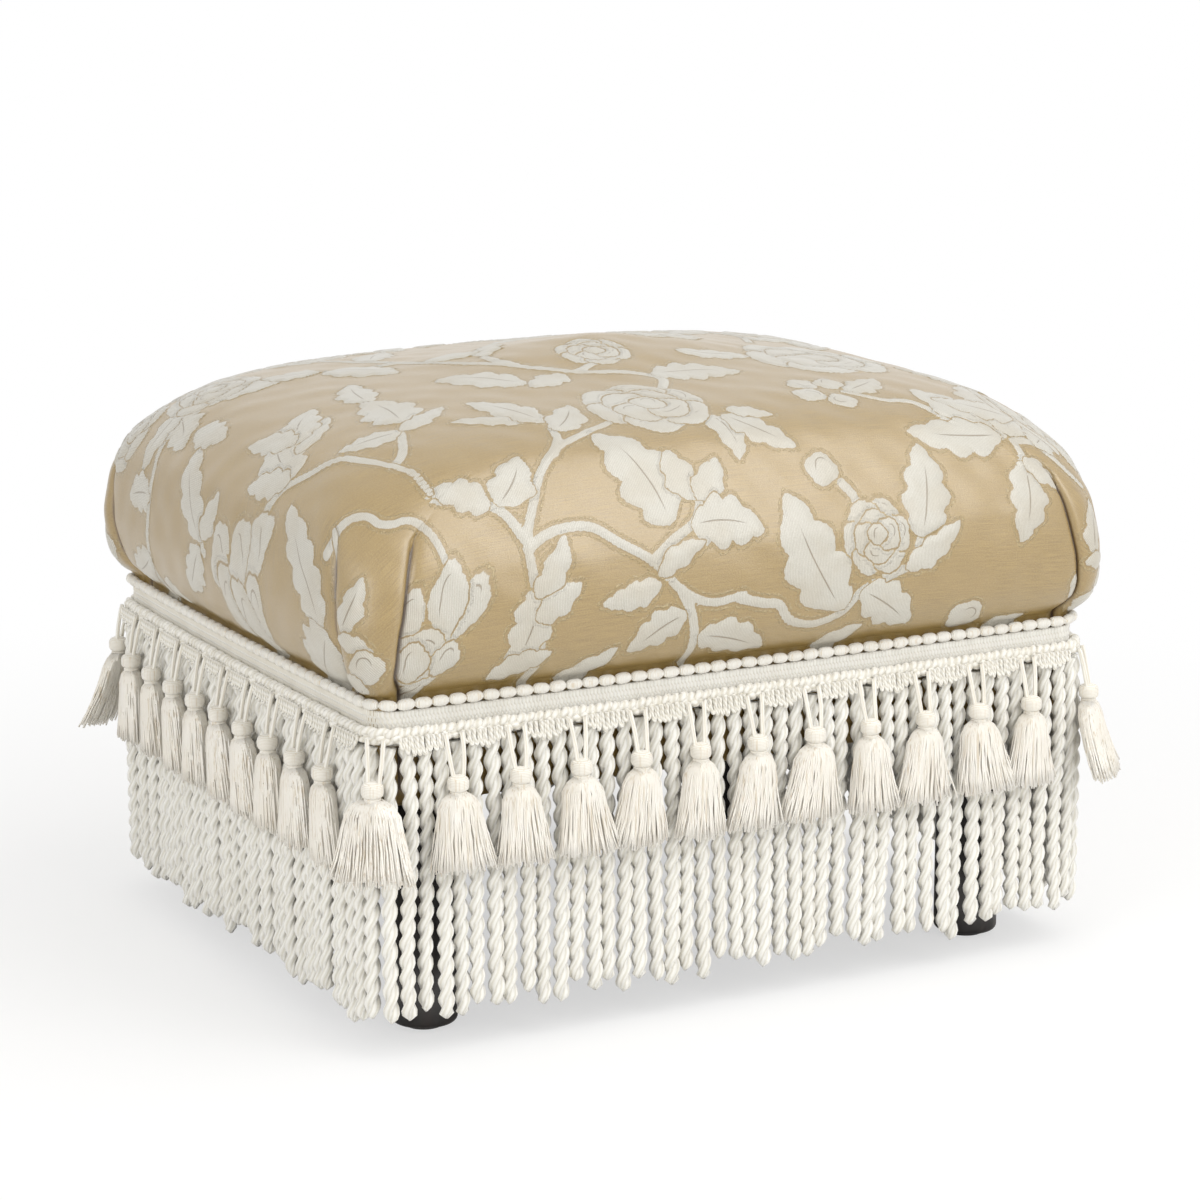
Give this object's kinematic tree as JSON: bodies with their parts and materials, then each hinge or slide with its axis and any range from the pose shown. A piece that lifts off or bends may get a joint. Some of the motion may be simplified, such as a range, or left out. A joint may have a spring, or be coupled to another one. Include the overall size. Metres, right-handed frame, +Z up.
{
  "type": "footstool",
  "caption": "Upholstered rectangular footstool: crowned cushion in floral satin, braid with tassels and bullion fringe, round dark legs on nail glides.",
  "frame": {"origin": "on the floor under the middle of the stool, level with the undersides of the glides", "axes": "+X along the long front to the right, +Y to the back, +Z up"},
  "size_m": [0.4798, 0.4004, 0.344],
  "materials": {
    "frame_pine": "planed softwood, unfinished",
    "deck_plywood": "birch plywood, unfinished",
    "cambric": "black spunbond dust cloth",
    "leg_wood": "hardwood, espresso lacquer, satin",
    "glide_plastic": "moulded nylon",
    "foam": "open cell foam",
    "batting": "polyester batting",
    "cover_satin": "woven satin ground with a raised ivory figure",
    "steel": "zinc plated",
    "trim_chenille": "ribbed cotton braid",
    "trim_beads": "oval woven beads",
    "trim_cord": "twisted yarn cord",
    "tassel_thread": "satin thread",
    "trim_bullion": "twisted two ply bullion"
  },
  "bodies": {
    "root": {"back_bullion": "trim_bullion", "back_left_corner_block": "frame_pine", "back_left_glide": "glide_plastic", "back_left_leg": "leg_wood", "back_rail": "frame_pine", "back_right_corner_block": "frame_pine", "back_right_glide": "glide_plastic", "back_right_leg": "leg_wood", "back_tassel_cords": "trim_cord", "back_tassel_heads": "tassel_thread", "back_tassel_skirts": "tassel_thread", "batting_wrap": "batting", "bead_row": "trim_beads", "block_screws": "steel", "braid_band": "trim_chenille", "cover_staples": "steel", "deck_board": "deck_plywood", "deck_screws": "steel", "dust_cover": "cambric", "dust_cover_staples": "steel", "flanged_nuts": "steel", "foam_pad": "foam", "front_bullion": "trim_bullion", "front_left_corner_block": "frame_pine", "front_left_glide": "glide_plastic", "front_left_leg": "leg_wood", "front_rail": "frame_pine", "front_right_corner_block": "frame_pine", "front_right_glide": "glide_plastic", "front_right_leg": "leg_wood", "front_tassel_cords": "trim_cord", "front_tassel_heads": "tassel_thread", "front_tassel_skirts": "tassel_thread", "gimp_cord": "trim_cord", "hanger_bolts": "steel", "left_bullion": "trim_bullion", "left_rail": "frame_pine", "left_tassel_cords": "trim_cord", "left_tassel_heads": "tassel_thread", "left_tassel_skirts": "tassel_thread", "rail_screws": "steel", "right_bullion": "trim_bullion", "right_rail": "frame_pine", "right_tassel_cords": "trim_cord", "right_tassel_heads": "tassel_thread", "right_tassel_skirts": "tassel_thread", "scallop_loops": "trim_chenille", "seat_cover": "cover_satin"}
  },
  "joints": []
}
